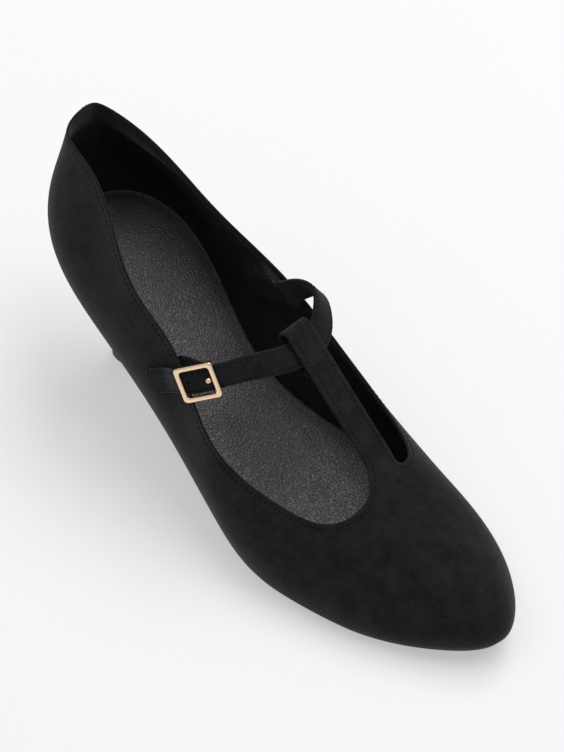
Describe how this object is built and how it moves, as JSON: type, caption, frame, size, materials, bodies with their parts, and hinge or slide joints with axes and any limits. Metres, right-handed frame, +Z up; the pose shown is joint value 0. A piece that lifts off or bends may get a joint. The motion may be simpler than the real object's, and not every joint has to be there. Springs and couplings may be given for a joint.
{
  "type": "t strap shoe",
  "caption": "Right t strap shoe in black suede: low cut upper with a T bar and loop, cross strap with a square gold buckle, slim mid heel.",
  "frame": {"origin": "centre of the heel's floor face, on the floor", "axes": "+X towards the toe, +Y towards the medial side, +Z up from the floor"},
  "size_m": [0.2317, 0.08, 0.1181],
  "materials": {
    "black_suede": "fine black nap, matte",
    "heel_suede": "black nap over a moulded heel, matte",
    "sock_leather": "dark grey pebbled lining leather, soft sheen",
    "sole_rubber": "black rubber, fine matte",
    "pale_gold": "polished pale gold plating"
  },
  "bodies": {
    "root": {"upper": "black_suede", "insole": "sock_leather", "outsole": "sole_rubber", "heel": "heel_suede", "top_piece": "sole_rubber", "cross_strap": "black_suede", "buckle_frame": "pale_gold", "buckle_pin": "pale_gold", "buckle_tab": "black_suede"}
  },
  "joints": []
}
